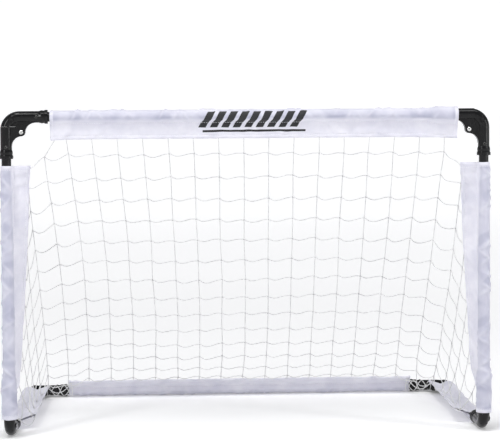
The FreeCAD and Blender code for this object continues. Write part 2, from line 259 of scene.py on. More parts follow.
def wovenPolyester(name, printed=None):
    mat, tree, shader = newFinish(
        name, clothFinish["light"], clothFinish["roughness"],
        Sheen_Weight=0.25, Sheen_Roughness=0.4, Subsurface_Weight=0.12, Subsurface_Scale=0.004)
    shader.inputs["Subsurface Radius"].default_value = (1.0, 0.95, 1.1)
    along, across = uvLength(tree)
    turns = 2 * math.pi / clothFinish["thread"]
    warp = math2(tree, "SINE", times(tree, along, turns))
    weft = math2(tree, "SINE", times(tree, across, turns))
    weave = times(tree, warp, weft)
    at = objectSpace(tree)
    cloud = noiseOf(tree, at, 24, 5, Roughness=0.6)
    slub = noiseOf(tree, at, 130, 4)
    tone = ramp(tree, cloud, (0.3, clothFinish["shade"]), (0.7, clothFinish["light"]))
    color = mixed(tree, times(tree, weave, 0.03), tone, (0.62, 0.62, 0.70))
    # per point: the tube showing through the cloth, with painted shade in the fold hollows and on the lower
    # side and painted highlights on the fold ridges (set in Sleeve.build)
    over = put(tree, "ShaderNodeAttribute", setattribute_name="tubeShowAndShade").outputs["Fac"]
    color = mixed(tree, times(tree, over, clothFinish["shows"]), color, clothFinish["tubeShowAndShade"])
    if printed:
        color = mixed(tree, printed(tree, along, across), color, (0.012, 0.012, 0.014))
    rough = plus(tree, times(tree, slub, 0.16), clothFinish["roughness"] - 0.08)
    feed(tree, shader, Base_Color=color, Roughness=rough)
    bumps(tree, shader, (slub, 0.10, 0.0006), (weave, 0.16, 0.00012))
    return mat


# a row of slanted bars above a rule, printed on the crossbar's sleeve
barPrint = {"from": -0.081, "to": 0.110, "bars": 9, "filled": 0.64, "slant": 0.55,
            "barsTall": (0.021, 0.055), "ruleTall": (0.0125, 0.0165)}


def slantedBars(tree, along, across):
    lean = math2(tree, "SUBTRACT", along, times(tree, across, barPrint["slant"]))
    place = math2(tree, "DIVIDE", math2(tree, "SUBTRACT", lean, barPrint["from"] - 0.02),
                  (barPrint["to"] - barPrint["from"]) / barPrint["bars"])
    bar = math2(tree, "LESS_THAN", math2(tree, "FRACT", place), barPrint["filled"])

    def between(value, a, b):
        over, under = math2(tree, "GREATER_THAN", value, a), math2(tree, "LESS_THAN", value, b)
        return times(tree, over, under)

    tall, ruleTall = (between(across, *barPrint[key]) for key in ("barsTall", "ruleTall"))
    inRow = times(tree, between(place, 0, barPrint["bars"]), tall)
    rule = times(tree, between(along, barPrint["from"], barPrint["to"]), ruleTall)
    return math2(tree, "MAXIMUM", times(tree, bar, inRow), rule)


def sewingThread():
    mat, tree, shader = newFinish("sewingThread", (0.86, 0.86, 0.90), 0.45, Sheen_Weight=0.3)
    fuzz = noiseOf(tree, objectSpace(tree), 2500, 2)
    tone = ramp(tree, fuzz, (0.35, (0.74, 0.74, 0.80)), (0.65, (0.90, 0.90, 0.93)))
    feed(tree, shader, Base_Color=tone)
    bumps(tree, shader, (fuzz, 0.2, 0.0001))
    return mat


stringFinish = {"light": (0.81, 0.81, 0.81), "shade": (0.63, 0.63, 0.64), "lay": 0.0042}


def twistedString():
    mat, tree, shader = newFinish("twistedString", stringFinish["light"], 0.5, Sheen_Weight=0.2)
    along, around = uvLength(tree)
    turn = plus(tree, times(tree, along, 2 * math.pi / stringFinish["lay"]), times(tree, around, 6 * math.pi))
    strand = math2(tree, "SINE", turn)
    cloud = noiseOf(tree, objectSpace(tree), 40, 4)
    tone = ramp(tree, plus(tree, times(tree, strand, 0.12), cloud),
                (0.3, stringFinish["shade"]), (0.62, stringFinish["light"]))
    feed(tree, shader, Base_Color=tone)
    fuzz = noiseOf(tree, objectSpace(tree), 1800, 2)
    bumps(tree, shader, (strand, 0.5, 0.0003), (fuzz, 0.2, 0.0001))
    return mat


def onScene(name, data):
    item = bpy.data.objects.new(name, data)
    bpy.context.scene.collection.objects.link(item)
    return item


def meshOf(name, points, faces, links=()):
    data = bpy.data.meshes.new(name)
    data.from_pydata([tuple(p) for p in points], links, [tuple(f) for f in faces])
    return data


def placesOf(data):
    at = np.empty(3 * len(data.vertices), np.float32)
    data.vertices.foreach_get("co", at)
    return at.reshape(-1, 3)


def meshPiece(name, points, faces, finish, uv=None):
    data = meshOf(name, points, faces)
    data.polygons.foreach_set("use_smooth", [True] * len(data.polygons))
    if uv is not None:
        layer = data.uv_layers.new(name="clothMetres")
        layer.data.foreach_set("uv", np.asarray(uv, np.float32).ravel())
    data.materials.append(finish)
    data.update()
    return onScene(name, data)


def resample(grid, axis, places):
    # Catmull-Rom through the grid's rows at fractional row numbers
    grid = np.moveaxis(grid, axis, 0)
    last = len(grid) - 1
    places = np.clip(np.asarray(places, float), 0, last)
    i = np.minimum(places.astype(int), last - 1)
    t = (places - i).reshape(-1, *[1] * (grid.ndim - 1))
    a, b, c, d = (grid[np.clip(i + k, 0, last)] for k in (-1, 0, 1, 2))
    out = 0.5 * (2 * b + (c - a) * t + (2 * a - 5 * b + 4 * c - d) * t ** 2
                 + (3 * b - a - 3 * c + d) * t ** 3)
    return np.moveaxis(out, 0, axis)


def gridNormals(grid):
    return unit(np.cross(np.gradient(grid, axis=0), np.gradient(grid, axis=1)))


def rings(count, size):
    # quads between consecutive rings of points
    faces = []
    for i in range(count - 1):
        for k in range(size):
            m = (k + 1) % size
            faces.append((i * size + k, i * size + m, (i + 1) * size + m, (i + 1) * size + k))
    return faces


def closedTube(count, size, first):
    # the same with a cap at each end, numbered from first
    faces = [*rings(count, size), range(size - 1, -1, -1), range((count - 1) * size, count * size)]
    return [tuple(first + k for k in face) for face in faces]


def ringUv(down, around):
    # flat places for the quads of rings(); around has one value more than a ring has points
    grid = np.stack(np.meshgrid(down, around, indexing="ij"), -1)
    return np.stack([grid[:-1, :-1], grid[:-1, 1:], grid[1:, 1:], grid[1:, :-1]], 2).reshape(-1, 2)


def spokes(turn, side, up):
    # unit vectors round each point of a line
    return np.cos(turn)[..., None] * side[:, None] + np.sin(turn)[..., None] * up[:, None]


def swirl(*place):
    return np.array(noise.noise_vector(Vector(place)))


def runAlong(line):
    # the distance along a line of points
    return np.concatenate([[0], np.cumsum(np.linalg.norm(np.diff(line, axis=0), axis=1))])


def valuesAt(places, run, line):
    return np.stack([np.interp(places, run, line[:, c]) for c in range(3)], 1)


def settle(name, points, links, faces, pins, cut=None, rods=(), *, frames, **fabric):
    # lets a mesh hang as cloth and returns where its points end
    cloth, scene = onScene(name, meshOf(name, points, faces, links)), bpy.context.scene
    if cut is not None:  # the lengths that the fabric was cut to
        cloth.shape_key_add(name="Basis")
        key = cloth.shape_key_add(name="cut")
        key.data.foreach_set("co", np.asarray(cut, np.float32).ravel())
        key.value = 0.0
    held = cloth.vertex_groups.new(name="held")
    for weight in sorted(set(pins.values())):
        held.add([i for i, w in pins.items() if w == weight], weight, "ADD")
    helpers = [rodToLieOn(*rod) for rod in rods]
    sim = cloth.modifiers.new("drape", "CLOTH")
    setup = sim.settings
    setup.vertex_group_mass = "held"
    if cut is not None:
        setup.rest_shape_key = key
    for key, value in fabric.items():
        setattr(setup, key, value)
    touch = sim.collision_settings
    touch.use_collision = bool(rods)
    touch.distance_min = 0.0008
    touch.collision_quality = 3
    sim.point_cache.frame_start = 1
    sim.point_cache.frame_end = frames
    for f in range(1, frames + 1):
        scene.frame_set(f)
    shown = cloth.evaluated_get(bpy.context.evaluated_depsgraph_get())
    out = placesOf(shown.data).astype(float)
    for item in [cloth, *helpers]:
        bpy.data.objects.remove(item, do_unlink=True)
    scene.frame_set(1)
    return out


def rodToLieOn(a, b, radius, sides=20):
    a, b = np.asarray(a, float), np.asarray(b, float)
    along = unit(b - a)
    side = unit(np.cross(along, (0.3, 0.5, 0.8)))
    up = np.cross(along, side)
    turn = np.linspace(0, 2 * math.pi, sides, endpoint=False)[:, None]
    ring = radius * (np.cos(turn) * side + np.sin(turn) * up)
    count = 12
    points = np.concatenate([a + (b - a) * s + ring for s in np.linspace(0, 1, count)])
    rod = onScene("rod", meshOf("rod", points, rings(count, sides)))
    rod.modifiers.new("solid", "COLLISION")
    rod.collision.thickness_outer = 0.0006
    return rod


creaseShape = {
    "tube": (38.0, 0.026, 0.0024),  # lean in degrees, spacing and height of the folds round a tube
    "flap": (52.0, 0.040, 0.0026),
    "shadedHollow": (24.0, 0.047, 0.0),      # painted shade in the hollows between the folds
    "sharp": {"tube": 9, "flap": 3, "shadedHollow": 1.5},
    "patch": 0.11,
    "showAndShadeOn": {"front_frame": 1.0, "folding_base": 0.35},  # the base's sleeves lie low and face up to the light, so they take less of the tube's show-through and painted shade
}


def creases(s, u, kind, seed):
    # two families of folds that cross, 0 between them and 1 along a fold
    lean, spacing, _ = creaseShape[kind]
    rng = np.random.default_rng(seed)
    s, u = s[:, None], u[None, :]
    total = np.zeros((s.shape[0], u.shape[1]))
    for sign in (-1, 1):
        phase = rng.uniform(0, 6.28, 6)
        a = math.radians(lean * rng.uniform(0.85, 1.15)) * sign
        bend = 0.16 * np.sin(s * 41 + u * 30 + phase[0]) + 0.07 * np.sin(s * 97 - u * 80 + phase[1])
        turn = (s * math.cos(a) + u * math.sin(a)) / spacing + bend
        line = (0.5 + 0.5 * np.cos(2 * math.pi * turn)) ** creaseShape["sharp"][kind]
        size = 2 * math.pi / creaseShape["patch"]
        patch = np.sin(s * size + phase[2]) * np.sin(s * size * 0.37 + u * 45 + phase[3])
        patch = smooth(0.45 + 0.9 * patch)
        total = np.maximum(total, line * patch)
    return total


sleeveShape = {
    "tubeWrap": 0.0100,     # radius of the fabric round a tube
    "collarWrap": 0.0137,   # and round an elbow's collar
    "taper": 0.026,
    "seamShare": 1.22,      # the seam's distance from the tube's axis, in wraps
    "seam": 0.0012,         # and what is added to it
    "thick": 0.0006,
    "press": 0.0004,        # how far the fabric may press into the wrap
    "clear": 0.0004,        # off the floor
    "grid": 0.0026,         # of the finished mesh
    "hem": 0.0058,          # from the flap's edge to its stitching
    "endHem": 0.0065,
    "step": 0.0050,         # grid of the simulated cloth
    "tailRows": 7,
    "loopRows": 15,
    "opening": 42,          # degrees from the flap to where the loop starts
    "held": {"crown": 0.7, "flap": 0.9, "ends": 0.8},  # how firmly the cloth is held while it drapes
}

threadShape = {"radius": 0.00028, "off": 0.0007, "start": 0.002, "every": 0.0044}

thinCloth = {
    "frames": 24, "quality": 7, "mass": 0.0006,
    "tension_stiffness": 12, "compression_stiffness": 12, "shear_stiffness": 4, "bending_stiffness": 0.004,
    "tension_damping": 4, "compression_damping": 4, "shear_damping": 4, "bending_damping": 0.4,
    "air_damping": 1.5,
}


class Sleeve:
    # a strip wrapped round a tube, sewn shut, with a double flap that takes the net
    def __init__(self, name, start, end, flapAt, reachAt, collars=(), slack=0.02, shear=0.0, ease=0.05,
                 seed=1, body="front_frame", gapAt=None):
        self.name, self.start, self.end = name, np.array(start, float), np.array(end, float)
        self.length = np.linalg.norm(self.end - self.start)
        self.axis = (self.end - self.start) / self.length
        self.flapAt, self.reachAt, self.collars = flapAt, reachAt, collars
        self.slack, self.shear, self.ease, self.seed, self.body = slack, shear, ease, seed, body
        self.gapAt = gapAt
        self.count = int(round(self.length / sleeveShape["step"])) + 1
        self.drape()

    def wrapAt(self, s):
        tube, collar, taper = (sleeveShape[key] for key in ("tubeWrap", "collarWrap", "taper"))
        r = np.full_like(s, tube)
        for a, b in self.collars:
            inside = smooth((s - a) / taper + 1) * smooth((b - s) / taper + 1)
            r = np.maximum(r, tube + inside * (collar - tube))
        return r

    def frameAt(self, s):
        toFlap = unit(np.array([self.flapAt(x) for x in s / self.length]))
        return toFlap, np.cross(toFlap, self.axis)

    def layOut(self, s, cut=False):
        # tail rows from the hem to the seam, then the loop round the tube
        toFlap, side = self.frameAt(s)
        wrap = self.wrapAt(s) * (1 + (self.ease if cut else 0))
        reach = np.array([self.reachAt(x) for x in s / self.length])
        seam = self.wrapAt(s) * sleeveShape["seamShare"] + sleeveShape["seam"]
        seam = np.minimum(seam, reach - 0.001)
        place = s if not cut else (s - self.length / 2) * (1 + self.slack) + self.length / 2
        base = self.start + place[:, None] * self.axis
        tail = []
        for k in range(sleeveShape["tailRows"] + 1):
            share = k / sleeveShape["tailRows"]
            far, pull = reach + (seam - reach) * share, 0 * s
            if cut:
                far = far + (reach - seam) * (1 - share) * 0.02
                pull = self.shear * np.sin(s / self.length * 2 * math.pi * 1.5 + self.seed) * (1 - share)
            tail.append(base + toFlap * far[:, None] + self.axis * pull[:, None])
        opening, last = math.radians(sleeveShape["opening"]), sleeveShape["loopRows"] - 1
        turns = [opening + (2 * math.pi - 2 * opening) * k / last for k in range(last + 1)]
        loop = [base + wrap[:, None] * (math.cos(turn) * toFlap + math.sin(turn) * side) for turn in turns]
        return np.stack(tail, 1), np.stack(loop, 1)

    def drape(self):
        s = np.linspace(0, self.length, self.count)
        tail, loop = self.layOut(s)
        cutTail, cutLoop = self.layOut(s, cut=True)
        rows = tail.shape[1] + loop.shape[1]
        points = np.concatenate([tail, loop], 1).reshape(-1, 3)
        cut = np.concatenate([cutTail, cutLoop], 1).reshape(-1, 3)
        apart = Vector((self.seed * 7.3, 0, 0))
        for i, p in enumerate(points):  # a first unevenness for the folds to grow from
            points[i] = p + 0.0006 * swirl(*(Vector(p) * 60 + apart))
        seamRow = sleeveShape["tailRows"]
        order = [(k, k + 1) for k in range(rows - 1)] + [(rows - 1, seamRow)]
        faces = [(i * rows + a, i * rows + b, (i + 1) * rows + b, (i + 1) * rows + a)
                 for i in range(self.count - 1) for a, b in order]
        pins = {}
        held, crown = sleeveShape["held"], seamRow + 1 + sleeveShape["loopRows"] // 2
        every = max(1, int(round(netShape["cell"][0] / sleeveShape["step"])))
        for i in range(self.count):
            if i % every == 0:
                pins[i * rows + crown] = held["crown"]
            if i % every == every // 2:
                pins[i * rows] = held["flap"]
            if i in (0, self.count - 1):
                pins.update({i * rows + k: held["ends"] for k in range(rows)})
        rod = (self.start, self.end, sleeveShape["tubeWrap"] - 0.0012)
        out = settle(self.name, points, [], faces, pins, cut, [rod], **thinCloth)
        grid = out.reshape(self.count, rows, 3)
        self.tail = grid[:, :seamRow + 1]
        self.loop = np.concatenate([grid[:, seamRow:], grid[:, seamRow:seamRow + 1]], 1)

    def keepOff(self, points, s):
        # nothing sinks into the tube or the collar
        base = self.start + ((points - self.start) @ self.axis)[..., None] * self.axis
        out = points - base
        reach = np.linalg.norm(out, axis=-1, keepdims=True)
        least = (self.wrapAt(s) - sleeveShape["press"])[:, None, None]
        return np.where(reach < least, base + unit(out) * least, points)

    def build(self, finish, thread):
        fine = int(round(self.length / sleeveShape["grid"])) + 1
        places = np.linspace(0, self.count - 1, fine)
        s = np.linspace(0, self.length, fine)
        tail, loop = resample(self.tail, 0, places), resample(self.loop, 0, places)
        full = float(np.median(np.linalg.norm(np.diff(self.tail, axis=1), axis=2).sum(1)))
        hem = sleeveShape["hem"]
        # across the flap: the fold of the hem, its stitching, the plain middle and the seam's groove
        marks = np.array([0, 0.0009, 0.003, hem - 0.0008, hem, hem + 0.0009, hem + 0.003,
                          *np.linspace(0.012, 0.026, 5), full - 0.0028, full - 0.0016, full - 0.0008, full])
        half = np.array([0.0003, 0.0013, 0.00145, 0.00135, 0.00070, 0.00105, 0.00105,
                         *[0.001] * 5, 0.00085, 0.0005, 0.00075, 0.0011])
        tail = resample(tail, 1, marks / full * sleeveShape["tailRows"])
        normal = gridNormals(tail)
        fromEnd = np.minimum(s, self.length - s)
        calm = smooth(fromEnd / 0.02)
        down = marks / full
        window = np.clip(4 * down * (1 - down), 0, 1) ** 0.7
        folds = creases(s, marks, "flap", self.seed + 30) - 0.3
        raised = folds * calm[:, None] * window[None, :]
        tail = tail + normal * raised[..., None] * creaseShape["flap"][2]
        normal = gridNormals(tail)
        pucker = 0.00022 * np.sin(s * 2 * math.pi / 0.0105) + 0.0002 * np.sin(s * 2 * math.pi / 0.0171 + 1)
        tail[:, 3:6] += normal[:, 3:6] * pucker[:, None, None]
        gap = half[None, :] + np.zeros((fine, 1))
        if self.gapAt:
            gap = gap + np.array([self.gapAt(x) for x in s / self.length])[:, None]
        loopAt = np.linspace(0, loop.shape[1] - 1, 34)[1:-1]
        loop = self.keepOff(resample(loop, 1, loopAt), s)
        middleLine = (self.start + s[:, None] * self.axis)[:, None]
        spread = np.linspace(0, 1, loop.shape[1])
        aroundTube = spread * 2 * math.pi * sleeveShape["tubeWrap"]
        folds = creases(s, aroundTube, "tube", self.seed + 60)
        folds = folds * calm[:, None] * (np.clip(4 * spread * (1 - spread), 0, 1) ** 0.4)[None, :]
        standsOff = np.linalg.norm(loop - middleLine, axis=-1) - self.wrapAt(s)[:, None]
        # how much of the black tube shows through, and the painted shade and highlights on the sleeve: most
        # where the cloth lies on the tube, darker in the hollows between the folds and on the lower side
        # (painted shade), lighter on the fold ridges, least at the seam and the end hems
        # painted shade in the hollows between the folds
        hollowShade = creases(s, aroundTube, "shadedHollow", self.seed + 90)
        # the fold ridges stand off the tube, so less of it shows there, and are also painted lighter as a
        # painted highlight
        over = np.clip(1 - standsOff / 0.006, 0, 1) * (0.62 + 0.38 * smooth(hollowShade * 1.3)) * (1 - 0.5 * folds)
        # painted shade: darker towards the tube's lower side and lighter on its top, as light from above
        # would fall
        over *= np.clip(0.85 - 0.55 * unit(loop - middleLine)[..., 2], 0.2, 1)
        # less show-through and painted shade on the sleeves that face up, and fading towards the seam
        over *= creaseShape["showAndShadeOn"][self.body] * smooth(np.minimum(spread, 1 - spread) / 0.09)[None, :]
        over *= (0.2 + 0.8 * smooth((fromEnd - sleeveShape["endHem"]) / 0.001))[:, None]
        loop = loop + unit(loop - middleLine) * folds[..., None] * creaseShape["tube"][2]
        normal = normal * np.sign((normal * self.frameAt(s)[1][:, None]).sum(-1).mean())
        front = self.keepOff(tail + normal * gap[..., None], s)
        back = self.keepOff(tail - normal * gap[..., None], s)
        ring = np.concatenate([front, loop, back[:, ::-1]], 1)
        size = ring.shape[1]
        endHem = sleeveShape["endHem"]
        fold = 0.00045 * smooth((endHem - fromEnd) / 0.0008 + 0.5)
        fold = fold - 0.00035 * np.exp(-((fromEnd - endHem) / 0.0007) ** 2)
        closed = np.concatenate([ring[:, -1:], ring, ring[:, :1]], 1)
        outward = unit(np.cross(np.gradient(closed, axis=0), np.gradient(closed, axis=1)))[:, 1:-1]
        if (outward[:, size // 2] * (ring - middleLine)[:, size // 2]).sum() < 0:
            outward = -outward
        ring = ring + outward * fold[:, None, None]
        ring[..., 2] = np.maximum(ring[..., 2], sleeveShape["thick"] + sleeveShape["clear"])
        across = runAlong(ring[fine // 2])
        faces = rings(fine, size)
        uv = ringUv(s + self.start @ self.axis, np.append(across, across[-1] + 0.0006))
        piece = meshPiece(self.name + "_fabric", ring.reshape(-1, 3), faces, finish, uv)
        check = np.array(piece.data.polygons[size // 2 + size * (fine // 2)].normal)
        if check @ outward[fine // 2, size // 2] < 0:
            piece.data.flip_normals()
        flapSide = np.zeros((fine, front.shape[1]))
        # the tube's show-through with the painted shade and highlights, none on the flaps
        shown = piece.data.attributes.new("tubeShowAndShade", "FLOAT", "POINT")
        values = np.concatenate([flapSide, over, flapSide], 1)
        shown.data.foreach_set("value", values.astype(np.float32).ravel())
        wall = piece.modifiers.new("wall", "SOLIDIFY")
        wall.thickness, wall.offset = sleeveShape["thick"], 1.0
        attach(piece, self.body)
        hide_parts(self.name)
        self.sew(ring, outward, s, [4, size - 5, 13, size - 14], thread)  # hem and seam, both sides
        self.flat = (float(across[-1]), self.length * (1 + self.slack))
        self.piece, self.fullTall = piece, full

    def sew(self, ring, outward, s, rows, thread):
        # running stitches beside each hem and along the seam
        raised = ring + outward * threadShape["off"]
        lines = [(raised[:, k], outward[:, k]) for k in rows]
        for place in (sleeveShape["endHem"], self.length - sleeveShape["endHem"]):
            i = int(np.argmin(abs(s - place)))
            lines.append((raised[i], outward[i]))
        points, faces = [], []
        for line, up in lines:
            run = runAlong(line)
            for begin in np.arange(threadShape["start"], run[-1] - 0.004, threadShape["every"]):
                at = begin + np.array([0, 0.0007, 0.0024, 0.0031])
                centre, rise = valuesAt(at, run, line), unit(valuesAt(at, run, up))
                centre = centre + rise * np.array([-0.0003, 0.00012, 0.00012, -0.0003])[:, None]
                along = unit(centre[-1] - centre[0])
                across = np.cross(along, rise)
                first = len(points)
                turn = (np.arange(5) * 2 * math.pi / 5)[None]
                ring = centre[:, None] + threadShape["radius"] * spokes(turn, rise, across)
                points += list(ring.reshape(-1, 3))
                faces += closedTube(4, 5, first)
        piece = meshPiece(self.name + "_stitching", points, faces, thread)
        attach(piece, self.body)
        self.stitching = piece

    def hemAt(self, place, inside=0.0):
        # a point on the flap's edge, or some way up inside the flap
        share = np.clip((np.asarray(place) - self.start) @ self.axis / self.length, 0.01, 0.99)
        strip = resample(self.tail, 0, [share * (self.count - 1)])[0]
        return resample(strip, 0, [inside / self.fullTall * sleeveShape["tailRows"]])[0]


def makeSleeves():
    tubes = ("crossbar_tube", "left_post_tube", "left_side_tube", "back_tube")
    cross, post, side, back = (middle(tube) for tube in tubes)
    halfWide = abs(post[0])
    fabric = wovenPolyester("whiteWovenSleeve")
    printed = wovenPolyester("whitePrintedSleeve", slantedBars)
    thread = sewingThread()
    made = {}

    box = low("crossbar_sleeve"), high("crossbar_sleeve")
    collar = min(low("top_right_elbow_arm")[0], low("top_right_elbow_bend")[0]) - 0.008
    drop = cross[2] - box[0][2]
    made["crossbar"] = Sleeve(
        "crossbar_sleeve", (box[0][0], cross[1], cross[2]), (box[1][0], cross[1], cross[2]),
        lambda t: (0, 0, -1), lambda t: drop,
        collars=[(collar - box[0][0], 1.0)], slack=0.028, ease=0.10, seed=3)

    for sign, name, seed in ((-1, "left", 5), (1, "right", 8)):
        x = sign * halfWide
        box = low(f"{name}_post_sleeve"), high(f"{name}_post_sleeve")
        reach = halfWide - min(abs(box[0][0]), abs(box[1][0]))
        length = box[1][2] - box[0][2]
        foot = 0.075 / length

        def flap(t, sign=sign):
            turn = math.radians(75 * t ** 0.6)
            return (-sign * math.cos(turn), math.sin(turn), 0)

        def reachAt(t, reach=reach, foot=foot):
            return reach - (reach - 0.0165) * float(smooth((t - 1 + foot) / (foot * 0.7)))

        collar = max(high(f"{name}_foot_elbow_{half}")[2] for half in ("bend", "arm"))
        made[name + "Post"] = Sleeve(
            f"{name}_post_sleeve", (x, post[1], box[1][2]), (x, post[1], box[0][2]),
            flap, reachAt, collars=[(box[1][2] - collar - 0.008, 1.0)],
            slack=0.055, shear=0.014, ease=0.12, seed=seed,
            gapAt=lambda t, foot=foot: 0.0058 * float(smooth((t - 1 + foot * 0.62) / (foot * 0.25))))

        box = low(f"{name}_side_sleeve"), high(f"{name}_side_sleeve")
        lift = math.radians(20)
        mouth = min(low(f"back_{name}_elbow_{half}")[1] for half in ("bend", "arm"))
        made[name + "Side"] = Sleeve(
            f"{name}_side_sleeve", (x, box[0][1], side[2]), (x, box[1][1], side[2]),
            lambda t, sign=sign: (-sign * math.cos(lift), 0, math.sin(lift)), lambda t: 0.044,
            collars=[(mouth - 0.008 - box[0][1], 1.0)], slack=0.06, shear=0.008, ease=0.10, seed=seed + 1,
            body="folding_base")

    box = low("back_sleeve"), high("back_sleeve")
    rise = math.radians(35)
    made["back"] = Sleeve(
        "back_sleeve", (box[0][0], back[1], back[2]), (box[1][0], back[1], back[2]),
        lambda t: (0, -math.cos(rise), math.sin(rise)), lambda t: 0.044,
        slack=0.08, shear=0.010, ease=0.14, seed=12, body="folding_base")

    for key, sleeve in made.items():
        sleeve.build(printed if key == "crossbar" else fabric, thread)
        print("sleeve", key, "made,", len(sleeve.piece.data.polygons), "faces")
    return made


netShape = {
    "cell": (0.0463, 0.0470),    # across and down the sheet
    "columns": 17,               # on the back, between the two rounded corners
    "sideColumns": 10,
    "rows": 14,
    "firstRow": 0.029,           # from the crossbar's hem down to the first row
    "turn": 36.0,                # degrees the slope turns from top to bottom
    "corner": 0.040,
    "drift": (-0.0050, 0.0038, 0.0060),    # sideways, at the top, a third down and at the bottom
    "drawnIn": (-0.012, 0.023, 0.037, 0),  # share that the sheet narrows, from top to bottom
    "string": 0.00085,           # radius
    "knot": 0.00066,             # radius of the string in a knot, and the knot's size
    "knotSize": 0.00062,
    "slack": (0.0016, 0.0040),   # bulge of an upright and of a row, between knots
    "wander": 0.0045,
    "piecesPerCell": 4,
    "insideHem": 0.007,
    "cornerGap": 0.020,          # past the crossbar's hem, where rows go to the post's hem
    "sideDrop": 0.32,            # extra fall of a row, over its first cell round the corner
    "laces": 3,                  # crossings in front of each back elbow
    "laceTall": 0.0125,
    "laceFront": 0.0155,
    "cornerSag": 0.020,          # how far the loose edge hangs in front of a back elbow
    "lean": (0.0020, 0.0038),    # the bend that a knot gives a row, on the back and the left side
    "seed": 4,
}


class NetSheet:
    # where the netting's own rows and columns lie before it hangs
    def __init__(self, sleeves):
        self.sleeves = sleeves
        cross, back = sleeves["crossbar"], sleeves["back"]
        self.top = np.array([cross.start[1], cross.start[2] - cross.reachAt(0.5)])
        toFlap = np.array(back.flapAt(0.5))
        self.bottom = (back.start + toFlap * back.reachAt(0.5))[1:]
        chord = self.bottom - self.top
        turn = math.radians(netShape["turn"])
        self.radius = np.linalg.norm(chord) / 2 / math.sin(turn / 2)
        self.long = self.radius * turn
        self.forward = unit(np.array([-abs(chord[1]), -abs(chord[0])]))
        heading = math.atan2(chord[1], chord[0])
        self.heading = heading - turn / 2
        self.half = high("net")[0] - netShape["corner"]

    def slope(self, v):
        angle = self.heading + np.clip(v, -0.05, self.long + 0.05) / self.radius
        y = self.top[0] + self.radius * (np.sin(angle) - math.sin(self.heading))
        z = self.top[1] + self.radius * (math.cos(self.heading) - np.cos(angle))
        return y, z

    def place(self, s, v):
        y, z = self.slope(v)
        share = np.clip(v / self.long, 0, 1)
        s = s + np.interp(share, (0, 0.35, 1), netShape["drift"])
        over = np.maximum(abs(s) - self.half, 0)
        chamfer = netShape["corner"] * math.sqrt(2)
        part = np.minimum(over, chamfer) / math.sqrt(2)
        ahead = part + np.maximum(over - chamfer, 0)
        x = np.sign(s) * (np.minimum(abs(s), self.half) + part)
        x = x * (1 - np.interp(share, (0, 0.35, 0.65, 1), netShape["drawnIn"]))
        z = z - netShape["sideDrop"] * np.minimum(ahead, netShape["cell"][0])
        return np.stack([x, y + ahead * self.forward[0], z + ahead * self.forward[1]], -1)

    def limit(self, p, v):
        # which edge a point lies beyond, if any
        cross, back = self.sleeves["crossbar"], self.sleeves["back"]
        hand = "right" if p[0] > 0 else "left"
        post, side = self.sleeves[hand + "Post"], self.sleeves[hand + "Side"]
        crossEnd = abs((cross.end if p[0] > 0 else cross.start)[0])
        far = abs(p[0])
        if v < 0:
            return "crossbar"
        if far > crossEnd + netShape["cornerGap"] and p[2] > post.start[2]:
            return "post"
        if v > self.long:
            return "back" if far < abs(back.start[0]) else "backCorner"
        flap = side.start[2] + side.reachAt(0.5) * side.flapAt(0.5)[2]
        if p[2] < flap:
            return "side"
        if p[1] < self.hemY(post, p[2]) and far > self.half - 0.03:
            return "post"
        return ""

    def hemY(self, post, z):
        t = np.clip((post.start[2] - z) / post.length, 0, 1)
        return post.start[1] + post.reachAt(t) * post.flapAt(t)[1]

    def anchor(self, kind, p, inside=0.0):
        if kind not in ("crossbar", "back"):
            kind = ("right" if p[0] > 0 else "left") + kind.capitalize()
        return self.sleeves[kind].hemAt(p, inside)


def cornerEdges(sheet):
    # the net's own edge beside the back elbows, where no flap holds it
    edges = {}
    for sign, name in ((-1, "left"), (1, "right")):
        back, side = sheet.sleeves["back"], sheet.sleeves[name + "Side"]
        backEnd = (back.end if sign > 0 else back.start) + np.array([-sign * 0.006, 0, 0])
        sideEnd = side.end - side.axis * 0.006
        edges["backCorner", sign] = (back.hemAt(backEnd, 0.004), side.hemAt(sideEnd, 0.004))
    return edges


